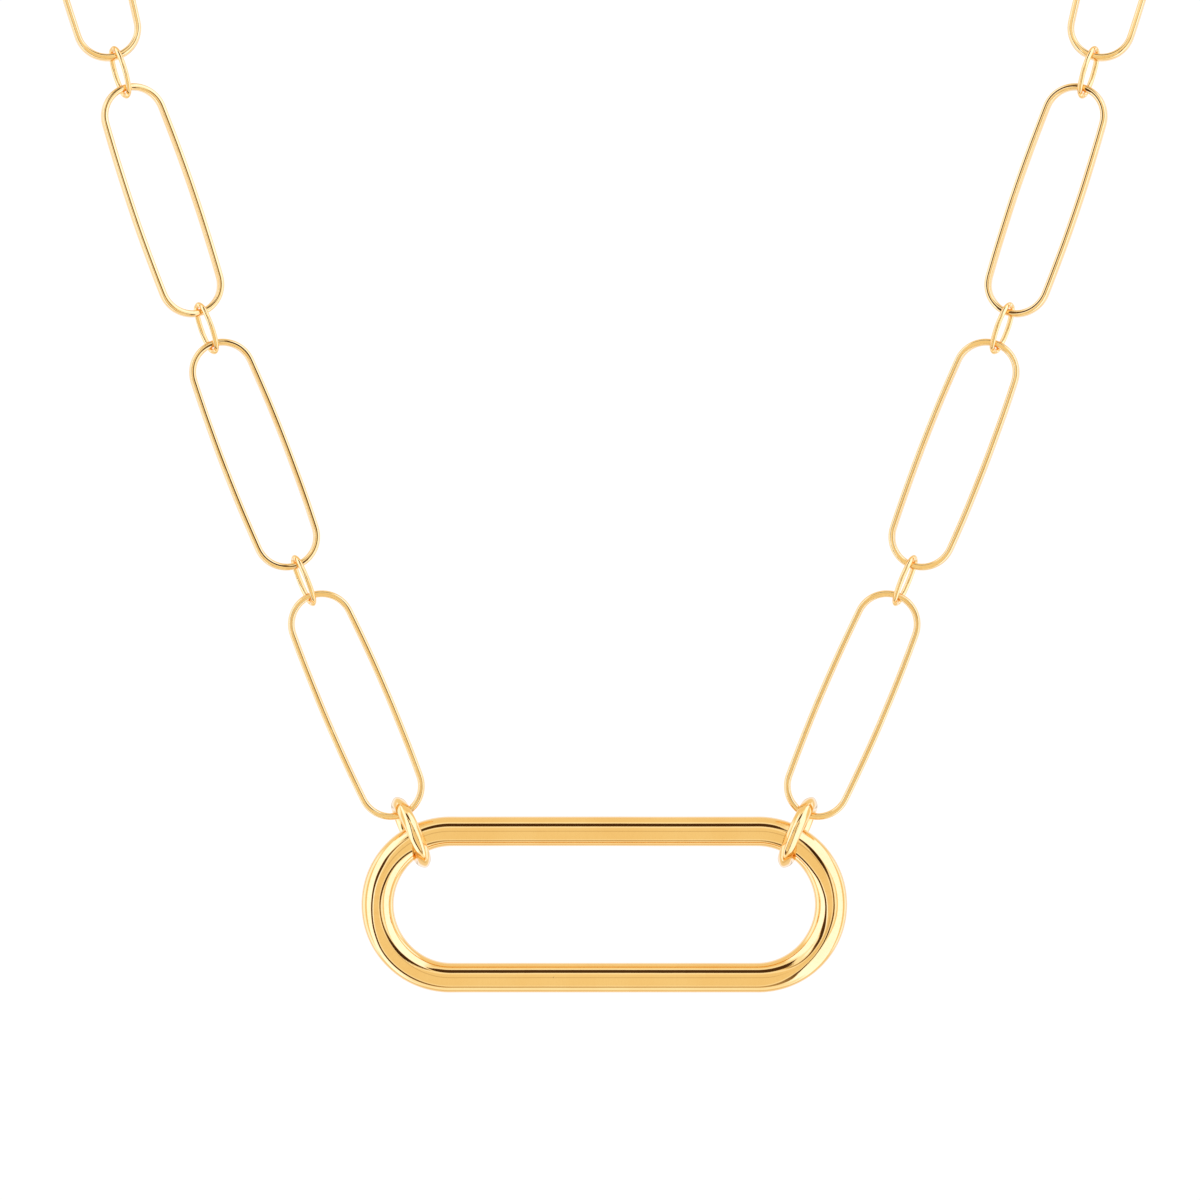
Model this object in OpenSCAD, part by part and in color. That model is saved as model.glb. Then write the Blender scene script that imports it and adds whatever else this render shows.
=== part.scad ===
// Paperclip chain necklace with one thick oval link at its centre.
// It hangs in its worn form: the front strands lie almost in one upright plane,
// and the chain then turns back over the shoulders to a plain clasp at the nape.
// The origin is where the clasp's inner side rests on the back of the neck.
// X runs across the wearer, -Y is the front and +Z is up.

/* [Centre link] */
// Length of the thick oval link, side to side
centre_l = 45; // [32:0.5:64]
// Height of the thick oval link
centre_w = 16.3; // [13:0.1:24]
// Thickness of its round tube
centre_wire = 2.75; // [2:0.05:3.8]

/* [Long links] */
// Length of a long link over its wire
long_l = 22.6; // [16:0.05:32]
// Width of a long link over its wire, at its middle
long_w = 6.75; // [5.5:0.05:10]
// Thickness of the long links' wire, as seen from the front
long_wire = 0.65; // [0.5:0.05:0.9]
// Thickness of the long links' wire, from front to back
long_depth = 1.05; // [0.65:0.05:1.4]
// How far the long sides bow out beyond the rounded ends
long_bow = 0.22; // [0.05:0.01:0.5]

/* [Connectors] */
// Thickness of the connectors' round wire
connector_wire = 0.5; // [0.4:0.05:0.8]
// Space left between the ends of two long links
link_space = 2.45; // [1.5:0.05:4]
// Room each side of a long link's wire inside a connector's rounded ends
connector_play = 0.25; // [0.25:0.05:0.6]
// How far a connector's sides bow out beyond its rounded ends
connector_bow = 0.25; // [0.1:0.01:0.4]
// How far a connector is turned from standing square to the long links
connector_turn = 12; // [0:1:20]

/* [Heavy rings] */
// Thickness of a heavy ring's round wire
ring_wire = 1.25; // [0.9:0.05:1.8]
// Free play of the centre link and the long link inside a heavy ring
ring_play = 0.95; // [0.4:0.05:1.5]
// Where a heavy ring sits on the centre link's rounded end, from its top
ring_seat = 28.5; // [10:0.5:45]
// How far a heavy ring leans from upright
ring_lean = 24; // [15:0.5:32]
// How far a heavy ring is turned from standing square to the front
ring_turn = 8; // [0:1:25]

/* [Clasp] */
// Length of the clasp's barrel
barrel_l = 8; // [6:0.5:14]
// Diameter of the clasp's barrel
barrel_d = 3.6; // [3:0.1:6]
// Slope round each end of the barrel
barrel_slope = 0.7; // [0.3:0.05:1.2]
// Thickness of the wire of the clasp's two eyes
eye_wire = 0.8; // [0.6:0.05:1.1]
// Room each side of a connector's wire inside an eye
eye_play = 0.5; // [0.3:0.05:0.9]

/* [Fit] */
// Gap between two pieces where they pull on each other
gap = 0.1; // [0.05:0.01:0.2]

/* [Output] */
// Piece to draw

/* [Hidden] */
// Steps round a wire or a small ring
round_steps = 48;
$fn = round_steps;
gold = [0.93, 0.75, 0.42];
// Steps in a full turn for arcs of a large radius
arc_steps = 360;
// The sides of an oval run a hair into its ends and are a hair thinner, so that
// the soldered wire is one solid
solder_lap = 0.05;
solder_step = 0.01;

// The chain's route: one row for each long link, from the centre link up to the
// nape, as [rise above level, turn in plan from the front, roll]
route = [
    [66.9, 0, 3],
    [68.9, 0, 9],
    [71.3, 0, 18],
    [71, 34, 40],
    [54, 76, 71],
    [36, 90, 65],
    [21, 109, 56],
    [11, 134, 45],
    [4, 160, 35],
];
clasp_row = [0, 180, 29];
// Limits and steps of the search for the factor that closes the loop
turn_low = 0.5;
turn_high = 1.6;
turn_steps = 40;

long_count = len(route);
item_count = 2 * long_count;
ring_row = [90 - ring_lean, 0, 0];
connector_stand = 90 + connector_turn;
ring_stand = 90 + ring_turn;
eye_r = (connector_wire + eye_wire) / 2 + eye_play;
eye_x = barrel_l / 2 + eye_r - eye_wire / 4;

// Section of the long links' wire: two rounds side by side and the flat between
long_round = min(long_wire, long_depth);
long_flat = max(long_depth - long_wire, 0);

// How far the middle of a long link's wire sits from the middle of a round hole,
// when it pulls on the hole's rim at a tilt given as the tilt's sine
function bar_at(hole, tilt) =
    sqrt(
        pow((hole - long_round) / 2 - gap, 2)
        - pow(long_flat / 2, 2) * (1 - tilt * tilt)
    )
    - long_flat / 2 * abs(tilt)
    - (long_wire - long_round) / 2;

ring_hole = centre_wire + long_wire + 2 * gap + ring_play;
connector_hole = long_depth + 2 * connector_play;
connector_end_r = (connector_hole + connector_wire) / 2;
connector_reach = connector_end_r - bar_at(connector_hole, 0);
connector_l = link_space + long_wire + connector_wire + 2 * connector_reach;
connector_w = connector_hole + 2 * (connector_wire + connector_bow);

function unit(v) = v / norm(v);

// Direction of a row, and the way its face to the body looks
function rise_dir(row) =
    [-cos(row[0]) * cos(row[1]), cos(row[0]) * sin(row[1]), sin(row[0])];
function level_dir(row) = [sin(row[1]), cos(row[1]), 0];
function back_dir(row) =
    cos(row[2]) * level_dir(row) - sin(row[2]) * cross(level_dir(row), rise_dir(row));

// Row k with its turn in plan times f, and the clasp's after the last
function long_row(k, f) =
    k < long_count ? [route[k][0], f * route[k][1], route[k][2]] : clasp_row;

// Items of one strand from the bottom up: an even one is a long link, an odd one
// the connector after it, which takes the mean of its two neighbours. The clasp
// comes after the last.
function is_long(i) = i % 2 == 0;
function along(i, f) =
    is_long(i)
    ? rise_dir(long_row(i / 2, f))
    : unit(along(i - 1, f) + along(i + 1, f));
function back(i, f) =
    is_long(i)
    ? back_dir(long_row(i / 2, f))
    : unit(back(i - 1, f) + back(i + 1, f));
function stand(i) = is_long(i) ? 0 : connector_stand;
function item_l(i) = is_long(i) ? long_l - long_wire : connector_l - connector_wire;

// Way an item's wire runs at its ends, and the way two items pull apart there
function across(i, f) = unit(cross(back(i, f), along(i, f)));
function tip_dir(i, f) =
    cos(stand(i)) * across(i, f) + sin(stand(i)) * cross(along(i, f), across(i, f));
function pull_dir(i, f) =
    let (v = unit(cross(tip_dir(i, f), tip_dir(i + 1, f))))
    v * (along(i, f) + along(i + 1, f)) < 0 ? -v : v;

// From the wire's middle at the end of item i to that of the next item
function hold(i, f) =
    i == item_count - 1
    ? (connector_wire + eye_wire) / 2 + gap
    : connector_end_r
        - bar_at(connector_hole, pull_dir(i, f) * back(is_long(i) ? i : i + 1, f));

// Middle of the centre link's tube where a heavy ring sits, the ring's middle and
// the lower end of the first long link, all from the centre link's middle
centre_r = (centre_w - centre_wire) / 2;
ring_at =
    [-(centre_l - centre_w) / 2, 0, 0]
    + centre_r * [-sin(ring_seat), 0, cos(ring_seat)];
ring_middle = ring_at + ((ring_hole - centre_wire) / 2 - gap) * rise_dir(ring_row);
first_end = ring_middle + bar_at(ring_hole, 0) * rise_dir(ring_row);

// Ends of item i on its wire's centreline, from the centre link's middle
function lower_end(i, f) =
    i == 0
    ? first_end
    : upper_end(i - 1, f) - hold(i - 1, f) * pull_dir(i - 1, f);
function upper_end(i, f) = lower_end(i, f) + item_l(i) * along(i, f);

// Halving search for the factor with which the strand ends at the clasp's eye
function past_eye(f) = lower_end(item_count, f)[0] + eye_x + eye_r;
function close_loop(low, high, steps) =
    let (middle = (low + high) / 2)
    steps == 0
    ? middle
    : past_eye(middle) < 0
    ? close_loop(middle, high, steps - 1)
    : close_loop(low, middle, steps - 1);
turn = close_loop(turn_low, turn_high, turn_steps);

// Middle of the centre link from the origin
nape = lower_end(item_count, turn);
centre = [0, barrel_d / 2 - nape[1], -nape[2]];

// Section of a wire, round or with flats between its rounded edges
module wire_section(wire, depth) {
    round_d = min(wire, depth);
    flat = [wire - round_d, depth - round_d];
    for (edge = [-1, 1])
        translate(edge * flat / 2)
            circle(d = round_d, $fn = round_steps);
    if (wire != depth)
        square([wire > depth ? flat[0] : wire, wire > depth ? depth : flat[1]], center = true);
}

// Arc of wire in the XY plane, from one angle over a sweep
module wire_arc(r, wire, depth, from, sweep) {
    rotate(from)
        rotate_extrude(angle = sweep, $fn = arc_steps)
            translate([r, 0])
                wire_section(wire, depth);
}

// Full ring of round wire in the XZ plane
module wire_ring(r, wire) {
    rotate([90, 0, 0])
        rotate_extrude()
            translate([r, 0])
                circle(d = wire);
}

// Oval of wire in the XZ plane with its length upright and bowed sides
module oval(l, w, wire, depth, bow) {
    half_w = (w - wire) / 2;
    end_r = half_w - bow;
    end_y = (l - wire) / 2 - end_r;
    side_r = (half_w * half_w + end_y * end_y - end_r * end_r) / (2 * bow);
    meet = atan2(end_y, side_r - half_w);
    lap = meet + atan2(solder_lap, side_r);
    rotate([90, 0, 0])
        for (end = [0, 180])
            rotate(end) {
                translate([0, end_y, 0])
                    wire_arc(end_r, wire, depth, meet, 180 - 2 * meet);
                translate([half_w - side_r, 0, 0])
                    wire_arc(side_r, wire - solder_step, depth - solder_step, -lap, 2 * lap);
            }
}

// Puts a shape at a point, with its own Z one way and its own Y facing the body
module put(at, up, body) {
    x = unit(cross(body, up));
    y = cross(up, x);
    multmatrix([
        [x[0], y[0], up[0], at[0]],
        [x[1], y[1], up[1], at[1]],
        [x[2], y[2], up[2], at[2]],
        [0, 0, 0, 1]
    ])
        children();
}

// The right strand is the left one mirrored
module on_side(side) {
    mirror([side == "right" ? 1 : 0, 0, 0])
        children();
}

// Puts an upright shape where item i of the left strand is
module on_route(i) {
    put(
        centre + (lower_end(i, turn) + upper_end(i, turn)) / 2,
        along(i, turn),
        back(i, turn)
    )
        rotate(stand(i))
            children();
}

module centre_link() {
    color(gold)
        translate(centre)
            rotate([90, 0, 0])
                for (end = [0, 180])
                    rotate(end) {
                        translate([(centre_l - centre_w) / 2, 0, 0])
                            wire_arc(centre_r, centre_wire, centre_wire, -90, 180);
                        translate([0, centre_r, 0])
                            rotate([0, 90, 0])
                                cylinder(h = centre_l - centre_w, d = centre_wire, center = true);
                    }
}

module heavy_ring(side) {
    color(gold)
        on_side(side)
            put(centre + ring_middle, rise_dir(ring_row), back_dir(ring_row))
                rotate(ring_stand)
                    wire_ring((ring_hole + ring_wire) / 2, ring_wire);
}

module long_link(side, k) {
    color(gold)
        on_side(side)
            on_route(2 * k - 2)
                oval(long_l, long_w, long_wire, long_depth, long_bow);
}

module connector(side, k) {
    color(gold)
        on_side(side)
            on_route(2 * k - 1)
                oval(connector_l, connector_w, connector_wire, connector_wire, connector_bow);
}

// Plain barrel with an eye at each end, where its inner side rests on the neck
module clasp() {
    color(gold)
        put([0, barrel_d / 2, 0], rise_dir(clasp_row), back_dir(clasp_row)) {
            rotate_extrude()
                polygon([
                    [0, -barrel_l / 2],
                    [barrel_d / 2 - barrel_slope, -barrel_l / 2],
                    [barrel_d / 2, -barrel_l / 2 + barrel_slope],
                    [barrel_d / 2, barrel_l / 2 - barrel_slope],
                    [barrel_d / 2 - barrel_slope, barrel_l / 2],
                    [0, barrel_l / 2]
                ]);
            for (end = [-1, 1])
                translate([0, 0, end * eye_x])
                    wire_ring(eye_r, eye_wire);
        }
}

centre_link();
for (side = ["left", "right"]) {
    heavy_ring(side);
    for (k = [1:long_count]) {
        long_link(side, k);
        connector(side, k);
    }
}
clasp();
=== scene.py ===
import math
import bmesh
import bpy
import numpy as np
from mathutils import Matrix, Vector


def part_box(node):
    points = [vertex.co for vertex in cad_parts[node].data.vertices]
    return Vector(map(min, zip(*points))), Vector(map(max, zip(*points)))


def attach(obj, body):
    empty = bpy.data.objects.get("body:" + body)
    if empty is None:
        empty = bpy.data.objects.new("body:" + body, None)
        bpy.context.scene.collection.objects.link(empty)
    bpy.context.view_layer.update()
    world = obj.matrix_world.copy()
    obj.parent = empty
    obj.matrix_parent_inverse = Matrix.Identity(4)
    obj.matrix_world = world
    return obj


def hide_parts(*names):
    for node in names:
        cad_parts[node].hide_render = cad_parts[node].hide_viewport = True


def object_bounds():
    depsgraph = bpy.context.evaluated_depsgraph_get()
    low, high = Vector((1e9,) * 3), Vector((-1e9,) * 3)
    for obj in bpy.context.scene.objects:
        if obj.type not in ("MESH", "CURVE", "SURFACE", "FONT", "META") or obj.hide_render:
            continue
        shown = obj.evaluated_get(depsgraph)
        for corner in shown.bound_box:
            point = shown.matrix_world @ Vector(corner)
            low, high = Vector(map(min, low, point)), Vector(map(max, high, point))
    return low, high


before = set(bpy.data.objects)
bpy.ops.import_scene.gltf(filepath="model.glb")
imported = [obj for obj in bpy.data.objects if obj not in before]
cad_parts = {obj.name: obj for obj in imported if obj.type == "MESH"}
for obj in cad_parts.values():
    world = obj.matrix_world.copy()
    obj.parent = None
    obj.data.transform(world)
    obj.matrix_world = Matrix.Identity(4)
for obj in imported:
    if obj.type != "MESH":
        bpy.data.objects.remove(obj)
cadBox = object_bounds()
mm = 0.001
sides = ("left", "right")
linksPerSide = 9
print("frame loaded:", len(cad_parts), "nodes")


# Numbers that travel through a node tree, so that a formula reads as one
class Num:
    def __init__(self, tree, socket):
        self.tree = tree
        self.socket = socket

    def calc(self, operation, *others, first=True):
        node = self.tree.nodes.new("ShaderNodeMath")
        node.operation = operation
        values = (self, *others) if first else (*others, self)
        for slot, value in zip(node.inputs, values):
            plug(self.tree, value, slot)
        return Num(self.tree, node.outputs[0])

    def __add__(self, other):
        return self.calc("ADD", other)

    def __sub__(self, other):
        return self.calc("SUBTRACT", other)

    def __mul__(self, other):
        return self.calc("MULTIPLY", other)

    def __truediv__(self, other):
        return self.calc("DIVIDE", other)

    def __rsub__(self, other):
        return self.calc("SUBTRACT", other, first=False)

    def __rtruediv__(self, other):
        return self.calc("DIVIDE", other, first=False)

    __radd__ = __add__
    __rmul__ = __mul__

    def sin(self):
        return self.calc("SINE")

    def cos(self):
        return self.calc("COSINE")

    def above(self, other):
        return self.calc("GREATER_THAN", other)

    def below(self, other):
        return self.calc("LESS_THAN", other)

    def between(self, low, high):  # 0 at low, 1 at high, eased
        node = self.tree.nodes.new("ShaderNodeMapRange")
        node.interpolation_type = "SMOOTHSTEP"
        for label, value in (("Value", self), ("From Min", low), ("From Max", high)):
            plug(self.tree, value, node.inputs[label])
        return Num(self.tree, node.outputs[0])


def plug(tree, value, slot):
    if isinstance(value, Num):
        value = value.socket
    if isinstance(value, bpy.types.NodeSocket):
        tree.links.new(value, slot)
    else:
        slot.default_value = value


def addNode(tree, kind, inputs=None, **settings):
    node = tree.nodes.new(kind)
    for name, value in settings.items():
        setattr(node, name, value)
    for slot, value in (inputs or {}).items():
        plug(tree, value, node.inputs[slot])
    return node


def vector(tree, x=0.0, y=0.0, z=0.0):
    return addNode(tree, "ShaderNodeCombineXYZ", {0: x, 1: y, 2: z}).outputs[0]


def scaled(tree, value, factor):
    node = addNode(tree, "ShaderNodeVectorMath", {0: value, "Scale": factor}, operation="SCALE")
    return node.outputs[0]


def newTree(treeName, inputs):
    tree = bpy.data.node_groups.new(treeName, "GeometryNodeTree")
    tree.interface.new_socket("Geometry", in_out="INPUT", socket_type="NodeSocketGeometry")
    for label, kind in inputs.items():
        tree.interface.new_socket(label, in_out="INPUT", socket_type="NodeSocket" + kind)
    tree.interface.new_socket("Geometry", in_out="OUTPUT", socket_type="NodeSocketGeometry")
    start = tree.nodes.new("NodeGroupInput")
    values = {label: Num(tree, start.outputs[label]) for label in inputs}
    return tree, values


def endTree(tree, geometry):
    end = tree.nodes.new("NodeGroupOutput")
    tree.links.new(geometry, end.inputs[0])
    return tree


# Closed loop of wire: two long sides, straight or bowed, and a round end at each of them
loopInputs = {
    "Length": "Float", "Width": "Float", "Bow": "Float", "Wire": "Float", "Depth": "Float",
    "Squareness": "Float", "Path Points": "Int", "Section Points": "Int",
    "Seam Place": "Float", "Seam Swell": "Float", "Seam Width": "Float",
    "End Swell": "Float", "Waver": "Float", "Waver Scale": "Float", "Seed": "Float",
    "Facets": "Float", "Facet Depth": "Float",
    "Crest": "Float", "Crest Place": "Float", "Crest Length": "Float", "Crest Width": "Float",
    "Crest Drift": "Float",
    "Middle": "Vector", "Along": "Vector", "Face": "Vector", "Finish": "Material",
}
swellSpan = (-0.1, 0.8)  # part of the bend over which it thickens


def loopPath(tree, v):
    points = v["Path Points"]
    index = Num(tree, addNode(tree, "GeometryNodeInputIndex").outputs[0])
    turn = index * 4 / points  # 0 to 4 once round, from the middle of one side
    quarter = turn.calc("PINGPONG", 1)
    halfWidth = (v["Width"] - v["Wire"]) / 2
    endRadius = halfWidth - v["Bow"]
    endMiddle = (v["Length"] - v["Wire"] * (1 + v["End Swell"])) / 2 - endRadius
    squares = halfWidth * halfWidth + endMiddle * endMiddle - endRadius * endRadius
    sideRadius = squares / (v["Bow"] * 2)
    meet = endMiddle.calc("ARCTAN2", sideRadius - halfWidth)
    sideLength = sideRadius * meet
    quarterLength = sideLength + endRadius * (math.pi / 2 - meet)
    gone = quarter * quarterLength
    sideAngle = gone.calc("MINIMUM", sideLength) / sideRadius
    halfSine = (sideAngle / 2).sin()
    endAngle = meet + (gone - sideLength).calc("MAXIMUM", 0.0) / endRadius
    onEnd = gone.above(sideLength)
    sideX = halfWidth - 2 * sideRadius * halfSine * halfSine
    sideY = sideRadius * sideAngle.sin()
    endX = endRadius * endAngle.cos()
    endY = endMiddle + endRadius * endAngle.sin()
    signX = 1 - 2 * (turn - 2).calc("ABSOLUTE").below(1.0)
    signY = 1 - 2 * turn.above(2.0)
    x = signX * (sideX + onEnd * (endX - sideX))
    y = signY * (sideY + onEnd * (endY - sideY))
    circle = addNode(tree, "GeometryNodeCurvePrimitiveCircle", {"Resolution": points, "Radius": 1.0})
    shaped = addNode(tree, "GeometryNodeSetPosition",
                     {"Geometry": circle.outputs[0], "Position": vector(tree, x, y)})
    place = addNode(tree, "GeometryNodeInputPosition").outputs[0]
    noise = addNode(tree, "ShaderNodeTexNoise",
                    {"Vector": place, "W": v["Seed"], "Scale": v["Waver Scale"], "Detail": 1.0},
                    noise_dimensions="4D")
    centred = addNode(tree, "ShaderNodeVectorMath", {0: noise.outputs["Color"], 1: (0.5, 0.5, 0.5)},
                      operation="SUBTRACT")
    wavering = addNode(tree, "GeometryNodeSetPosition",
                       {"Geometry": shaped.outputs[0],
                        "Offset": scaled(tree, centred.outputs[0], v["Waver"] * 2)})
    # The run along the wire is kept on a circle as long as the wire, so it closes without a step
    roundTurn = index * (2 * math.pi) / points
    runRadius = quarterLength * (2 / math.pi)
    run = vector(tree, roundTurn.cos() * runRadius, roundTurn.sin() * runRadius)
    stored = addNode(tree, "GeometryNodeStoreNamedAttribute",
                     {"Geometry": wavering.outputs[0], "Name": "run", "Value": run},
                     data_type="FLOAT_VECTOR")
    # The soldered seam is a faint swelling of the wire, and the bend may be thicker than the sides
    away = (turn / 4 - v["Seam Place"]).calc("ABSOLUTE") * quarterLength * 4 / v["Seam Width"]
    bent = ((gone - sideLength) / (quarterLength - sideLength)).between(*swellSpan)
    thickness = 1 + v["Seam Swell"] * (1 - away.between(0.0, 1.0)) + v["End Swell"] * bent
    return stored.outputs[0], thickness


def wireSection(tree, v):
    points = v["Section Points"]
    index = Num(tree, addNode(tree, "GeometryNodeInputIndex").outputs[0])
    angle = index * (2 * math.pi) / points
    power = 2 / v["Squareness"]
    facet = 1 + v["Facet Depth"] * (angle * v["Facets"]).cos()

    def reach(wave, size):
        return wave.calc("SIGN") * wave.calc("ABSOLUTE").calc("POWER", power) * facet * size / 2

    acrossWire = reach(angle.cos(), v["Wire"])
    throughWire = reach(angle.sin(), v["Depth"])
    circle = addNode(tree, "GeometryNodeCurvePrimitiveCircle", {"Resolution": points, "Radius": 1.0})
    shaped = addNode(tree, "GeometryNodeSetPosition",
                     {"Geometry": circle.outputs[0],
                      "Position": vector(tree, acrossWire, throughWire)})
    around = vector(tree, angle.cos() * v["Wire"] / 2, angle.sin() * v["Wire"] / 2)
    stored = addNode(tree, "GeometryNodeStoreNamedAttribute",
                     {"Geometry": shaped.outputs[0], "Name": "around", "Value": around},
                     data_type="FLOAT_VECTOR")
    return stored.outputs[0]


# Where the link was bent and filed, its face keeps a soft crest round one corner of the far end,
# which drifts from the outer side of the bend to the inner one
def crested(tree, geometry, v):
    place = addNode(tree, "GeometryNodeInputPosition").outputs[0]
    parts = addNode(tree, "ShaderNodeSeparateXYZ", {0: place})
    x, y, z = (Num(tree, parts.outputs[i]) for i in range(3))
    y = y + (v["Length"] - v["Width"]) / 2
    along = (x.calc("ARCTAN2", y) - v["Crest Place"]) / v["Crest Length"]
    out = ((x * x + y * y).calc("SQRT") - (v["Width"] - v["Wire"]) / 2) * 2 / v["Wire"]
    across = (out - v["Crest Drift"] * along).calc("ABSOLUTE") / v["Crest Width"]
    height = v["Crest"] * z.above(0.0) * (1 - across.between(0.0, 1.0))
    height = height * (1 - along.calc("ABSOLUTE").between(0.0, 1.0))
    return addNode(tree, "GeometryNodeSetPosition",
                   {"Geometry": geometry, "Offset": vector(tree, 0.0, 0.0, height)}).outputs[0]


def placed(tree, geometry, v):
    turned = addNode(tree, "FunctionNodeAxesToRotation",
                     {"Primary Axis": v["Face"], "Secondary Axis": v["Along"]},
                     primary_axis="Z", secondary_axis="Y")
    return addNode(tree, "GeometryNodeTransform",
                   {"Geometry": geometry, "Translation": v["Middle"], "Rotation": turned.outputs[0]}
                   ).outputs[0]


def finished(tree, geometry, v):
    smooth = addNode(tree, "GeometryNodeSetShadeSmooth", {"Geometry": geometry})
    real = addNode(tree, "GeometryNodeRealizeInstances", {"Geometry": smooth.outputs[0]})
    coated = addNode(tree, "GeometryNodeSetMaterial",
                     {"Geometry": real.outputs[0], "Material": v["Finish"]})
    return coated.outputs[0]


def wireLoopTree():
    tree, v = newTree("wireLoop", loopInputs)
    path, thickness = loopPath(tree, v)
    swept = addNode(tree, "GeometryNodeCurveToMesh",
                    {"Curve": path, "Profile Curve": wireSection(tree, v), "Scale": thickness})
    crest = crested(tree, swept.outputs[0], v)
    return endTree(tree, finished(tree, placed(tree, crest, v), v))


def makePiece(pieceName, tree, values):
    piece = bpy.data.objects.new(pieceName, bpy.data.meshes.new(pieceName))
    bpy.context.scene.collection.objects.link(piece)
    modifier = piece.modifiers.new("shape", "NODES")
    modifier.node_group = tree
    identifiers = {item.name: item.identifier for item in tree.interface.items_tree
                   if item.in_out == "INPUT"}
    for label, value in values.items():
        modifier[identifiers[label]] = value
    bpy.context.view_layer.update()
    depsgraph = bpy.context.evaluated_depsgraph_get()
    mesh = bpy.data.meshes.new_from_object(piece.evaluated_get(depsgraph), depsgraph=depsgraph)
    piece.modifiers.remove(modifier)
    piece.data = mesh
    mesh.name = pieceName
    return piece


neckMiddle = np.array((0.0, -0.06, 0.0))
upward = (-0.01, 0.0, 1.0)  # a link that lies level counts as pointing left
middleShare = 9  # of a triangle's middle in its second moment, against 1 of each corner


# Where a node stands: its middle, its long and facing directions, and its size along them
def seatOf(nodeName, isRing=False):
    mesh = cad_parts[nodeName].data
    mesh.calc_loop_triangles()
    points = np.empty(len(mesh.vertices) * 3, np.float32)
    mesh.vertices.foreach_get("co", points)
    points = points.reshape(-1, 3).astype(float)
    corners = np.empty(len(mesh.loop_triangles) * 3, np.int32)
    mesh.loop_triangles.foreach_get("vertices", corners)
    triangles = points[corners].reshape(-1, 3, 3)
    edges = triangles[:, 1:] - triangles[:, :1]
    areas = np.linalg.norm(np.cross(edges[:, 0], edges[:, 1]), axis=1) / 2
    middles = triangles.mean(axis=1)
    centre = (areas[:, None] * middles).sum(axis=0) / areas.sum()
    arms, middleArms = triangles - centre, middles - centre
    spread = np.einsum("t,tci,tcj->ij", areas, arms, arms)
    spread += middleShare * np.einsum("t,ti,tj->ij", areas, middleArms, middleArms)
    face, _, along = np.linalg.eigh(spread)[1].T
    if isRing:  # a ring has no long side, so its top is taken
        along = np.array((0.0, 0.0, 1.0)) - face * face[2]
        along /= np.linalg.norm(along)
    if along @ upward < 0:
        along = -along
    outward = (centre - neckMiddle) * (1.0, 1.0, 0.0)
    if face @ outward < 0:
        face = -face
    across = np.cross(along, face)
    axes = np.array((along, across, face))
    reach = points @ axes.T
    low, high = reach.min(axis=0), reach.max(axis=0)
    return {"middle": Vector(axes.T @ ((low + high) / 2)), "along": Vector(along),
            "face": Vector(face), "size": high - low}


wireLoop = wireLoopTree()
print("wire loop tree made")


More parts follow.
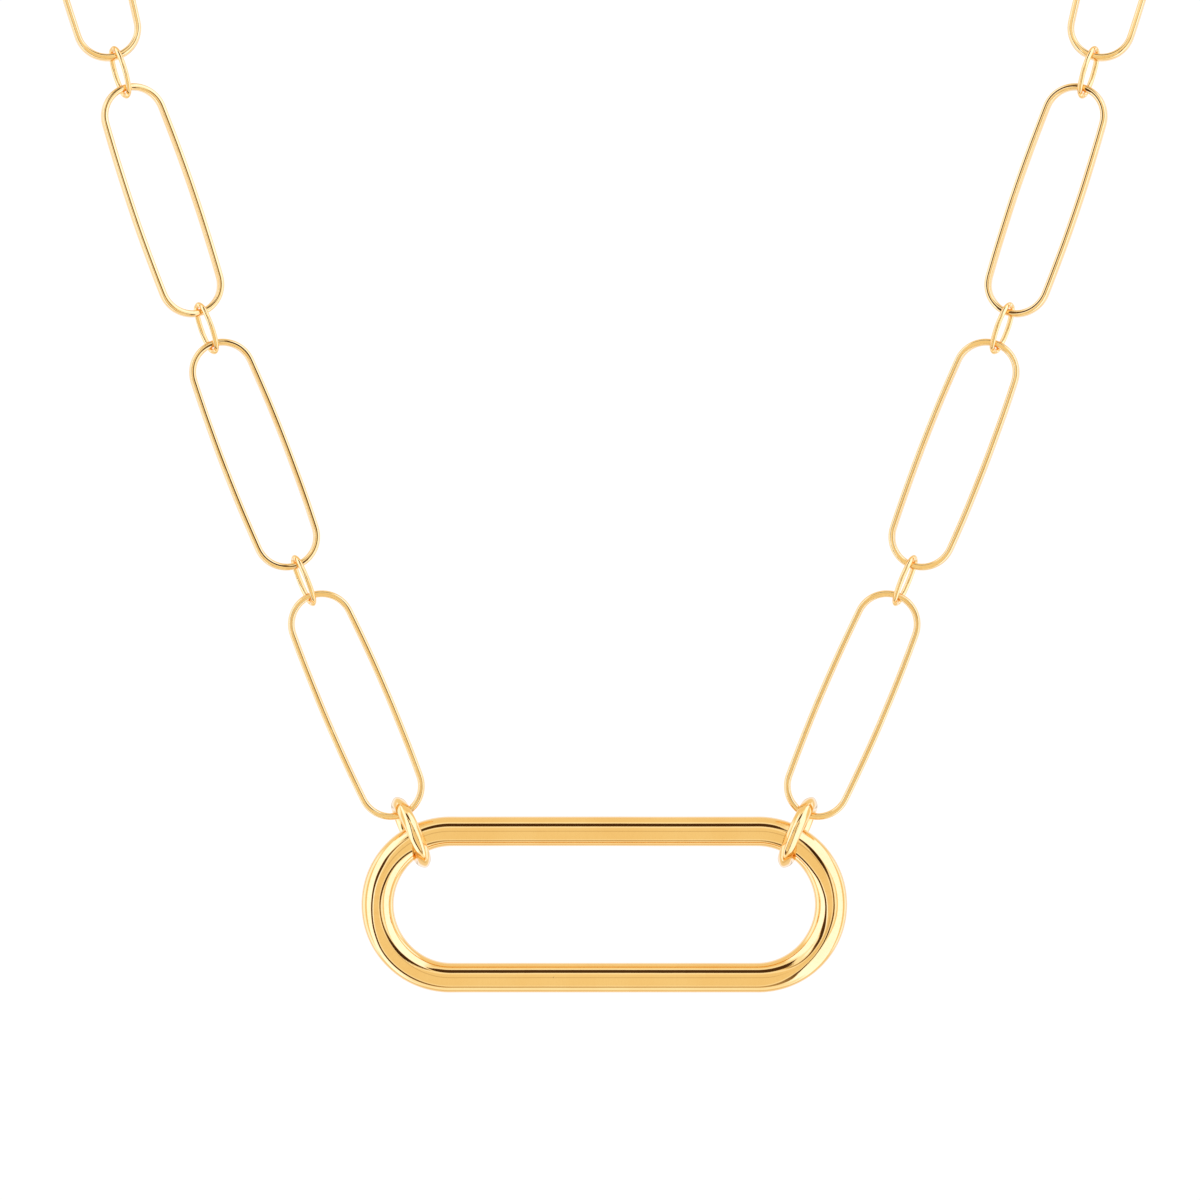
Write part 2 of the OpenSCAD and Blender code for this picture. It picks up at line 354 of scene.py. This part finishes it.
def streakedGold(materialName, look):
    material = bpy.data.materials.new(materialName)
    material.use_nodes = True
    tree = material.node_tree
    shader = tree.nodes["Principled BSDF"]
    place = addNode(tree, "ShaderNodeTexCoord").outputs["Object"]
    around = addNode(tree, "ShaderNodeAttribute", attribute_name="around").outputs["Vector"]
    run = addNode(tree, "ShaderNodeAttribute", attribute_name="run").outputs["Vector"]
    runParts = addNode(tree, "ShaderNodeSeparateXYZ", {0: run})
    aroundParts = addNode(tree, "ShaderNodeSeparateXYZ", {0: around})
    stretch = look["streakStretch"]
    runX = Num(tree, runParts.outputs[0]) / stretch
    runY = Num(tree, runParts.outputs[1]) / stretch
    drawn = vector(tree, aroundParts.outputs[0], aroundParts.outputs[1], runX)
    streaks = addNode(tree, "ShaderNodeTexNoise",
                      {"Vector": drawn, "W": runY * look["streakScale"],
                       "Scale": look["streakScale"], "Detail": 3.0}, noise_dimensions="4D")
    peel = addNode(tree, "ShaderNodeTexNoise",
                   {"Vector": place, "Scale": look["peelScale"], "Detail": 2.0})
    patches = addNode(tree, "ShaderNodeTexNoise",
                      {"Vector": place, "Scale": look["patchScale"], "Detail": 3.0})
    cells = addNode(tree, "ShaderNodeTexVoronoi", {"Vector": place, "Scale": look["pitScale"]})
    chosen = addNode(tree, "ShaderNodeSeparateColor", {0: cells.outputs["Color"]})
    isPit = Num(tree, chosen.outputs[0]).below(look["pitShare"])
    pit = isPit * (1 - Num(tree, cells.outputs["Distance"]).between(0.0, look["pitSize"]))
    waves = addNode(tree, "ShaderNodeTexNoise",
                    {"Vector": place, "Scale": look["waveScale"], "Detail": 1.0})
    lineRun = [Num(tree, runParts.outputs[i]) / look["lineStretch"] for i in range(2)]
    lineWay = vector(tree, aroundParts.outputs[0], aroundParts.outputs[1], lineRun[0])
    lines = addNode(tree, "ShaderNodeTexNoise",
                    {"Vector": lineWay, "W": lineRun[1] * look["lineScale"], "Scale": look["lineScale"],
                     "Detail": 2.0, "Roughness": look["lineRoughness"]}, noise_dimensions="4D")
    # The darker colour along the drawing lines is painted shade. It stands in for the dark lines that
    # the wire reflects, and is not a colour of the gold.
    lineShadeMask = Num(tree, lines.outputs[0]).between(*look["lineShadeTones"])
    tone = Num(tree, patches.outputs[0]).between(*look["patchTones"])
    colour = addNode(tree, "ShaderNodeMix", {0: tone, 6: look["colour"], 7: look["warmColour"]},
                     data_type="RGBA")
    lineShaded = addNode(tree, "ShaderNodeMix",
                    {0: lineShadeMask * look["lineShadeShare"], 6: colour.outputs[2], 7: look["lineShadeColour"]},
                    data_type="RGBA")
    aged = addNode(tree, "ShaderNodeMix",
                   {0: pit * look["pitTone"], 6: lineShaded.outputs[2], 7: look["pitColour"]},
                   data_type="RGBA")
    tree.links.new(aged.outputs[2], shader.inputs["Base Color"])
    shader.inputs["Metallic"].default_value = 1.0
    dull = Num(tree, streaks.outputs[0]).between(*look["streakTones"])
    rough = look["roughness"] + look["roughnessSpread"] * dull
    plug(tree, rough + pit * look["pitRoughness"], shader.inputs["Roughness"])
    height = (Num(tree, streaks.outputs[0]) * look["streakHeight"]
              + Num(tree, lines.outputs[0]) * look["lineHeight"]
              + Num(tree, peel.outputs[0]) * look["peelHeight"]
              + Num(tree, waves.outputs[0]) * look["waveHeight"] - pit * look["pitDepth"])
    bump = addNode(tree, "ShaderNodeBump", {"Height": height, "Strength": 1.0, "Distance": mm})
    tree.links.new(bump.outputs[0], shader.inputs["Normal"])
    return material


goldLook = {
    "colour": (0.935, 0.59, 0.193, 1.0),
    "warmColour": (0.915, 0.555, 0.17, 1.0),
    "pitColour": (0.45, 0.24, 0.06, 1.0),
    "roughness": 0.03,
    "roughnessSpread": 0.02,
    "patchScale": 220.0,
    "patchTones": (0.3, 0.7),
    "streakScale": 6000.0,
    "streakTones": (0.35, 0.75),
    "streakStretch": 14.0,
    "streakHeight": 0.00005,
    "lineScale": 2600.0,  # long drawing lines: a bump, and a darker colour along them that is painted shade
    "lineRoughness": 0.7,
    "lineShadeTones": (0.42, 0.68),
    "lineStretch": 70.0,
    "lineHeight": 0.0008,
    "lineShadeShare": 0.35,
    "lineShadeColour": (0.83, 0.46, 0.12, 1.0),
    "peelScale": 700.0,
    "peelHeight": 0.003,
    "waveScale": 150.0,
    "waveHeight": 0.03,
    "pitScale": 420.0,
    "pitShare": 0.06,
    "pitSize": 0.05,
    "pitDepth": 0.02,
    "pitTone": 0.6,
    "pitRoughness": 0.3,
}
thickGold = streakedGold("thickGold", goldLook)
linkLook = {
    **goldLook,
    "colour": (0.93, 0.60, 0.21, 1.0),
    "warmColour": (0.91, 0.565, 0.185, 1.0),
    "streakStretch": 24.0,
    # the links' drawing lines have no bump, so on them the darker lines are painted shade alone
    "lineHeight": 0.0,
    "peelHeight": 0.002,
    "waveHeight": 0.02,
}
linkGold = streakedGold("linkGold", linkLook)
connectorGold = streakedGold("connectorGold", {**goldLook, "peelHeight": 0.0015, "waveHeight": 0.01})
print("gold finishes made")


def ridingPiece(piece, nodeName):
    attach(piece, "root")
    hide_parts(nodeName)


def plainName(nodeName):
    first, *rest = nodeName.split("_")
    return first + "".join(word.capitalize() for word in rest)


# A look holds all the inputs of the loop but these, under the same names in camelCase
seatLabels = ("Length", "Width", "Depth", "Seed", "Middle", "Along", "Face")
seedsPerSide = 40


def loopValues(look, length, width, depth, step):
    values = {label: look[label[0].lower() + label[1:].replace(" ", "")]
              for label in loopInputs if label not in seatLabels}
    values.update({"Length": float(length), "Width": float(width), "Depth": float(depth),
                   "Seed": float(look["seed"] + step)})
    return values


def loopPiece(nodeName, look, step=0, isRing=False):
    seat = seatOf(nodeName, isRing)
    length, width, depth = seat["size"]
    if isRing:
        length = width = max(length, width)
    values = loopValues(look, length, width, depth, step)
    values.update({"Middle": seat["middle"], "Along": seat["along"], "Face": seat["face"]})
    ridingPiece(makePiece(plainName(nodeName), wireLoop, values), nodeName)


plainLoop = {
    "bow": 0.002 * mm, "squareness": 2.0, "endSwell": 0.0, "facets": 8.0, "facetDepth": 0.0,
    "crest": 0.0, "crestPlace": -2.32, "crestLength": 0.82, "crestWidth": 0.5, "crestDrift": 0.1,
    "seamPlace": 0.5, "seamSwell": 0.0, "seamWidth": 0.3 * mm,
}
centreLink = {
    **plainLoop, "wire": 2.75 * mm, "endSwell": 0.09, "crest": 0.15 * mm,
    "pathPoints": 360, "sectionPoints": 64,
    "waver": 0.02 * mm, "waverScale": 90.0, "seed": 1, "finish": thickGold,
}
loopPiece("centre_link", centreLink)

heavyRing = {
    **plainLoop, "wire": 1.25 * mm, "facets": 4.0, "facetDepth": 0.05,
    "pathPoints": 160, "sectionPoints": 40,
    "seamPlace": 0.7, "seamSwell": 0.012, "seamWidth": 0.5 * mm,
    "waver": 0.015 * mm, "waverScale": 200.0, "seed": 11, "finish": thickGold,
}
for number, side in enumerate(sides):
    loopPiece("heavy_ring_" + side, heavyRing, number, isRing=True)
print("centre link and heavy rings made")

longLink = {
    **plainLoop, "wire": 0.65 * mm, "bow": 0.22 * mm, "squareness": 2.7, "facetDepth": -0.004,
    "pathPoints": 200, "sectionPoints": 40,
    "seamPlace": 0.52, "seamSwell": 0.02, "seamWidth": 0.5 * mm,
    "waver": 0.03 * mm, "waverScale": 130.0, "seed": 20, "finish": linkGold,
}
connector = {
    **plainLoop, "wire": 0.5 * mm, "bow": 0.25 * mm, "facets": 4.0, "facetDepth": 0.035,
    "pathPoints": 96, "sectionPoints": 28,
    "seamPlace": 0.5, "seamSwell": 0.03, "seamWidth": 0.35 * mm,
    "waver": 0.012 * mm, "waverScale": 400.0, "seed": 110, "finish": connectorGold,
}
for number, side in enumerate(sides):
    for k in range(1, linksPerSide + 1):
        step = seedsPerSide * number + k
        loopPiece(f"long_link_{side}_{k}", longLink, step)
        loopPiece(f"connector_{side}_{k}", connector, step)
print("links and connectors made")


claspBody = {
    "length": 8.0 * mm, "width": 3.6 * mm, "shoulder": 1.0 * mm, "mouth": 1.2 * mm,
    "middle": (0.0, 1.8 * mm, 0.0), "turn": 29.0,
    "eyeRadius": 1.15 * mm, "eyeAt": 4.95 * mm,
    "segments": 64, "shoulderPoints": 14, "sidePoints": 24, "crease": 40.0,
    "eye": {**plainLoop, "wire": 0.8 * mm, "pathPoints": 96, "sectionPoints": 28,
            "waver": 0.005 * mm, "waverScale": 400.0, "seed": 300, "finish": connectorGold},
}


# The barrel's outline from end to end, as places along it and radii: a flat mouth and a round
# shoulder, the long side, and the same end again
def barrelOutline(look):
    half, radius, shoulder = look["length"] / 2, look["width"] / 2, look["shoulder"]
    end = [(-half, 0.0), (-half, look["mouth"] / 2)]
    for step in range(look["shoulderPoints"] + 1):
        angle = math.pi / 2 * step / look["shoulderPoints"]
        end.append((-half + shoulder * (1 - math.cos(angle)),
                    radius - shoulder + shoulder * math.sin(angle)))
    reach = half - shoulder
    side = [(-reach + 2 * reach * step / look["sidePoints"], radius)
            for step in range(1, look["sidePoints"])]
    return end + side + [(-at, out) for at, out in reversed(end)]


def lathe(outline, look):
    count = look["segments"]
    mesh = bpy.data.meshes.new("barrel")
    corners = [(outline[0][0], 0.0, 0.0), (outline[-1][0], 0.0, 0.0)]
    around = [(0.0, 0.0, 0.0)] * 2
    run = list(corners)
    for at, out in outline[1:-1]:
        for step in range(count):
            angle = 2 * math.pi * step / count
            y, z = out * math.cos(angle), out * math.sin(angle)
            corners.append((at, y, z))
            around.append((y, z, 0.0))
            run.append((at, 0.0, 0.0))
    faces = []
    rings = len(outline) - 2
    last = 2 + (rings - 1) * count
    for step in range(count):
        after = (step + 1) % count
        faces.append((0, 2 + after, 2 + step))
        faces.append((1, last + step, last + after))
        for ring in range(rings - 1):
            low, high = 2 + ring * count, 2 + (ring + 1) * count
            faces.append((low + step, low + after, high + after, high + step))
    mesh.from_pydata(corners, [], faces)
    for label, values in (("around", around), ("run", run)):
        layer = mesh.attributes.new(label, "FLOAT_VECTOR", "POINT")
        layer.data.foreach_set("vector", np.array(values).ravel())
    return mesh


# Two closed pieces made one, without the faces that end up inside
def joined(first, second):
    modifier = first.modifiers.new("join", "BOOLEAN")
    modifier.operation = "UNION"
    modifier.solver = "EXACT"
    modifier.object = second
    bpy.context.view_layer.update()
    depsgraph = bpy.context.evaluated_depsgraph_get()
    mesh = bpy.data.meshes.new_from_object(first.evaluated_get(depsgraph), depsgraph=depsgraph)
    first.modifiers.remove(modifier)
    first.data = mesh
    bpy.data.objects.remove(second)


def claspPiece(look):
    barrel = lathe(barrelOutline(look), look)
    barrel.transform(Matrix.Translation(look["middle"]))
    barrel.materials.append(connectorGold)
    piece = bpy.data.objects.new("barrelClasp", barrel)
    bpy.context.scene.collection.objects.link(piece)
    turn = math.radians(look["turn"])
    size = 2 * look["eyeRadius"] + look["eye"]["wire"]
    for sign in (-1, 1):
        values = loopValues(look["eye"], size, size, look["eye"]["wire"], step=sign)
        values["Middle"] = Vector(look["middle"]) + Vector((sign * look["eyeAt"], 0.0, 0.0))
        values["Along"] = Vector((1.0, 0.0, 0.0))
        values["Face"] = Vector((0.0, -math.cos(turn), -math.sin(turn)))
        joined(piece, makePiece("eye", wireLoop, values))
    mesh = piece.data
    mesh.name = piece.name
    mesh.polygons.foreach_set("use_smooth", [True] * len(mesh.polygons))
    mesh.set_sharp_from_angle(angle=math.radians(look["crease"]))
    ridingPiece(piece, "clasp")


claspPiece(claspBody)
print("clasp made")


# Studio: a white tent round the jewel. Directions are told by tilt, in degrees away from the
# front, and by roll round that line: 0 above, 90 to the right, 180 below and -90 to the left.
studio = {
    "tent": 1.0,  # how bright all that the gold mirrors is
    "backdrop": 1.05,  # how bright the camera sees the white behind
    # widths of soft edges, in degrees
    "soft": 3.0, "rollSoft": 12.0, "gapSoft": 3.0, "fineSoft": 2.0, "cardRollSoft": 4.0,
    "warmth": 0.82, "redness": 0.5, "coolness": 2.2,  # dim light is a little warm, bright cool
    # edge of the white front panel, as tilt by roll
    "frontEdge": ((-180, 76), (-135, 74), (-112, 54), (-90, 38), (-75, 37), (-66, 37), (-52, 42),
                  (-30, 42), (0, 38), (18, 37), (35, 31), (57, 22), (75, 20), (90, 19), (117, 29),
                  (137, 44), (160, 68), (180, 76)),
    # half the width of the dark gap along that edge, in degrees of tilt, and how dark it is
    "gapHalf": ((-180, 6), (-150, 7), (-115, 6.5), (-90, 6.5), (-66, 9), (-52, 6.5), (-30, 3), (0, 2),
                (20, 4), (40, 8), (57, 10.5), (68, 8.5), (78, 5.5), (90, 4.5), (112, 7.5), (137, 6.5),
                (160, 7), (180, 6)),
    "gapDark": ((-180, 0.5), (-160, 0.85), (-145, 0.96), (-90, 0.97), (-66, 0.97), (-45, 0.8),
                (-30, 0.4), (-15, 0.0), (12, 0.0), (25, 0.85), (40, 0.97), (57, 0.98), (90, 0.88),
                (112, 0.96), (145, 0.96), (160, 0.8), (180, 0.5)),
    "glow": ((-180, 1.25), (-120, 1.4), (-90, 1.8), (-66, 1.55), (-40, 1.35), (0, 1.3), (40, 1.35),
             (60, 1.4), (90, 1.3), (120, 1.35), (180, 1.25)),
    "glowFrom": 4.0, "glowTo": 10.0,
    "box": 1.78,
    # side boxes, as tilt by roll: where they start and where they end
    "leftFrom": ((-180, 90), (-135, 81), (-112, 60), (-90, 46), (-45, 52), (0, 62)),
    "leftTo": ((-180, 118), (-135, 112), (-112, 90), (-90, 81), (-45, 99), (0, 110)),
    "leftRolls": (-160, -30),
    "rightFrom": ((0, 62), (25, 40), (45, 32), (60, 36), (75, 44), (90, 48), (120, 46), (137, 58),
                  (180, 90)),
    "rightTo": ((0, 80), (25, 92), (45, 112), (70, 94), (90, 91), (110, 94), (135, 110), (180, 118)),
    "rightRolls": (22, 160),
    "strip": 1.58, "leftStripTilts": (100, 125), "leftStripRolls": (-128, -55),
    "rightStripTilts": (111, 130), "rightStripRolls": (58, 124),
    "rightGlow": 1.5, "rightGlowTilts": (28, 38), "rightGlowRolls": (70, 110),
    # the dark card above, and the bright edge behind it
    "cardFrom": ((-180, 52), (-42, 52), (-30, 45), (-15, 41), (0, 40), (12, 40), (26, 46), (180, 52)),
    "cardTo": ((-180, 52), (-42, 52), (-30, 58), (-15, 64), (0, 66), (12, 64), (26, 50), (180, 52)),
    "cardRolls": (-40, 24), "card": 0.045, "cardHalo": 1.3, "haloWidth": 12,
    # below the jewel: a pale band, and a darker line behind it
    "underGlow": 1.35, "underTilts": (86, 108), "underRoll": 150,
    "underLine": 0.78, "underLineTilts": (114, 121),
    # the faint dark slot in the front panel, by height and width on it
    "slot": 0.7, "slotAt": 0.05, "slotHalf": 0.06, "slotWide": 0.18, "slotTilt": 20.0,
    # behind the jewel: a pale rim, and a dark line that shows only from the back
    "rim": 1.25, "rimTilts": (142, 160), "backLine": 0.65, "backLineTilts": (164, 170),
}


def byRoll(tree, roll, points, most=180.0):
    node = addNode(tree, "ShaderNodeFloatCurve", {"Value": roll / 360 + 0.5})
    line = node.mapping.curves[0]
    places = [(at / 360 + 0.5, value / most) for at, value in points]
    while len(line.points) < len(places):
        line.points.new(0.5, 0.5)
    for point, place in zip(line.points, places):
        point.location = place
        point.handle_type = "AUTO_CLAMPED"
    node.mapping.update()
    return Num(tree, node.outputs[0]) * most


def makeWorld():
    world = bpy.data.worlds.new("studio")
    bpy.context.scene.world = world
    world.use_nodes = True
    tree = world.node_tree
    tree.nodes.clear()
    s = studio
    direction = addNode(tree, "ShaderNodeTexCoord").outputs["Generated"]
    parts = addNode(tree, "ShaderNodeSeparateXYZ", {0: direction})
    x, y, z = (Num(tree, parts.outputs[i]) for i in range(3))
    degree = 180 / math.pi
    tilt = (y * -1).calc("ARCCOSINE") * degree
    roll = x.calc("ARCTAN2", z) * degree

    def band(value, low, high, edge=s["soft"]):
        return (value - low).between(-edge / 2, edge / 2) * (high - value).between(-edge / 2, edge / 2)

    def painted(light, level, mask):
        return light + (level - light) * mask

    def rolls(low, high):
        return band(roll, low, high, s["rollSoft"])

    edge = byRoll(tree, roll, s["frontEdge"])
    gapHalf = byRoll(tree, roll, s["gapHalf"], most=20.0)
    gapDark = byRoll(tree, roll, s["gapDark"], most=1.0)
    glow = byRoll(tree, roll, s["glow"], most=2.0)
    off = (tilt - edge).calc("ABSOLUTE")
    beyond = off.between(gapHalf + s["glowFrom"], gapHalf + s["glowTo"])
    light = 1.0 + (glow - 1.0) * (1 - beyond)
    leftFrom, leftTo = byRoll(tree, roll, s["leftFrom"]), byRoll(tree, roll, s["leftTo"])
    rightFrom, rightTo = byRoll(tree, roll, s["rightFrom"]), byRoll(tree, roll, s["rightTo"])
    rightGlow = band(tilt, *s["rightGlowTilts"]) * rolls(*s["rightGlowRolls"])
    light = painted(light, s["rightGlow"], rightGlow)
    light = painted(light, s["box"], band(tilt, leftFrom, leftTo) * rolls(*s["leftRolls"]))
    light = painted(light, s["box"], band(tilt, rightFrom, rightTo) * rolls(*s["rightRolls"]))
    for side in sides:
        strip = band(tilt, *s[side + "StripTilts"]) * rolls(*s[side + "StripRolls"])
        light = painted(light, s["strip"], strip)
    half = s["rollSoft"] / 2
    under = roll.calc("ABSOLUTE").between(s["underRoll"] - half, s["underRoll"] + half)
    light = painted(light, s["underGlow"], band(tilt, *s["underTilts"]) * under)
    light = painted(light, s["underLine"], band(tilt, *s["underLineTilts"]) * under)
    outside = (off - gapHalf).between(-s["gapSoft"] / 2, s["gapSoft"] / 2)
    light = light * (1 - gapDark * (1 - outside))
    cardFrom, cardTo = byRoll(tree, roll, s["cardFrom"]), byRoll(tree, roll, s["cardTo"])
    halo = band(tilt, cardTo, cardTo + s["haloWidth"]) * rolls(*s["cardRolls"])
    light = painted(light, s["cardHalo"], halo)
    card = band(tilt, cardFrom, cardTo, s["fineSoft"]) * band(roll, *s["cardRolls"], s["cardRollSoft"])
    light = painted(light, s["card"], card)
    light = painted(light, s["rim"], band(tilt, *s["rimTilts"]))
    light = painted(light, s["backLine"], band(tilt, *s["backLineTilts"], s["fineSoft"]))
    slotUp = (z / (y * -1) - s["slotAt"]).calc("ABSOLUTE").between(s["slotHalf"] / 2, s["slotHalf"])
    slotOut = (x / y).calc("ABSOLUTE").between(s["slotWide"] / 2, s["slotWide"])
    inSlot = (1 - slotUp) * (1 - slotOut) * tilt.below(s["slotTilt"])
    light = painted(light, s["slot"], inSlot)
    bright, dim = light.calc("MAXIMUM", 1.0), light.calc("MINIMUM", 1.0)
    red = bright.calc("POWER", s["redness"]) * dim.calc("POWER", s["warmth"])
    blue = bright.calc("POWER", s["coolness"]) * dim.calc("POWER", 2 - s["warmth"])
    tint = vector(tree, red, light, blue)
    rays = addNode(tree, "ShaderNodeLightPath")
    plain = Num(tree, rays.outputs["Is Camera Ray"]) + Num(tree, rays.outputs["Is Diffuse Ray"])
    seen = addNode(tree, "ShaderNodeMix",
                   {0: plain, 6: scaled(tree, tint, s["tent"]),
                    7: (s["backdrop"], s["backdrop"], s["backdrop"], 1.0)}, data_type="RGBA")
    background = addNode(tree, "ShaderNodeBackground",
                         {"Color": seen.outputs[2], "Strength": 1.0})
    output = addNode(tree, "ShaderNodeOutputWorld")
    tree.links.new(background.outputs[0], output.inputs["Surface"])


makeWorld()

floorDisc = {
    "height": -0.26, "radius": 0.45, "fade": 0.2, "segments": 96,
    "colour": (0.94, 0.935, 0.925, 1.0), "roughness": 0.85, "grain": 300.0, "grainHeight": 0.02,
}


def makeFloor(look):
    mesh = bpy.data.meshes.new("floor")
    shape = bmesh.new()
    bmesh.ops.create_circle(shape, cap_ends=True, segments=look["segments"], radius=look["radius"])
    shape.to_mesh(mesh)
    shape.free()
    low, high = cadBox
    middle = ((low[0] + high[0]) / 2, (low[1] + high[1]) / 2, look["height"])
    mesh.transform(Matrix.Translation(middle))
    floor = bpy.data.objects.new("floor", mesh)
    bpy.context.scene.collection.objects.link(floor)
    floor.visible_glossy = False  # the studio above already holds what the gold mirrors
    material = bpy.data.materials.new("paleFloor")
    material.use_nodes = True
    tree = material.node_tree
    shader = tree.nodes["Principled BSDF"]
    shader.inputs["Base Color"].default_value = look["colour"]
    shader.inputs["Roughness"].default_value = look["roughness"]
    place = addNode(tree, "ShaderNodeTexCoord").outputs["Object"]
    offset = addNode(tree, "ShaderNodeVectorMath", {0: place, 1: middle}, operation="DISTANCE")
    far = Num(tree, offset.outputs["Value"]).between(look["radius"] - look["fade"], look["radius"])
    plug(tree, 1 - far, shader.inputs["Alpha"])
    grain = addNode(tree, "ShaderNodeTexNoise", {"Vector": place, "Scale": look["grain"]})
    bump = addNode(tree, "ShaderNodeBump",
                   {"Height": Num(tree, grain.outputs[0]) * look["grainHeight"], "Distance": mm})
    tree.links.new(bump.outputs[0], shader.inputs["Normal"])
    mesh.materials.append(material)


makeFloor(floorDisc)

photo = {
    "size": 1200,  # pixels on a side
    "scale": 0.0926 * mm,  # one pixel at the centre link
    "middle": (604.3, 904.5),  # the centre link's middle in the photo
    "distance": 0.6,
    "sensor": 36.0,
    "clipStart": 0.01,
}


def makeCamera():
    camera = bpy.data.objects.new("camera", bpy.data.cameras.new("camera"))
    bpy.context.scene.collection.objects.link(camera)
    low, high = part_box("centre_link")
    middle = (low + high) / 2
    half = photo["size"] / 2
    camera.location = (middle.x + (half - photo["middle"][0]) * photo["scale"],
                       middle.y - photo["distance"],
                       middle.z + (photo["middle"][1] - half) * photo["scale"])
    camera.rotation_euler = (math.pi / 2, 0.0, 0.0)
    camera.data.sensor_width = photo["sensor"]
    camera.data.lens = photo["sensor"] * photo["distance"] / (photo["size"] * photo["scale"])
    camera.data.clip_start = photo["clipStart"]
    bpy.context.scene.camera = camera


makeCamera()
bpy.context.scene.view_settings.view_transform = "Standard"
print("studio and camera made")
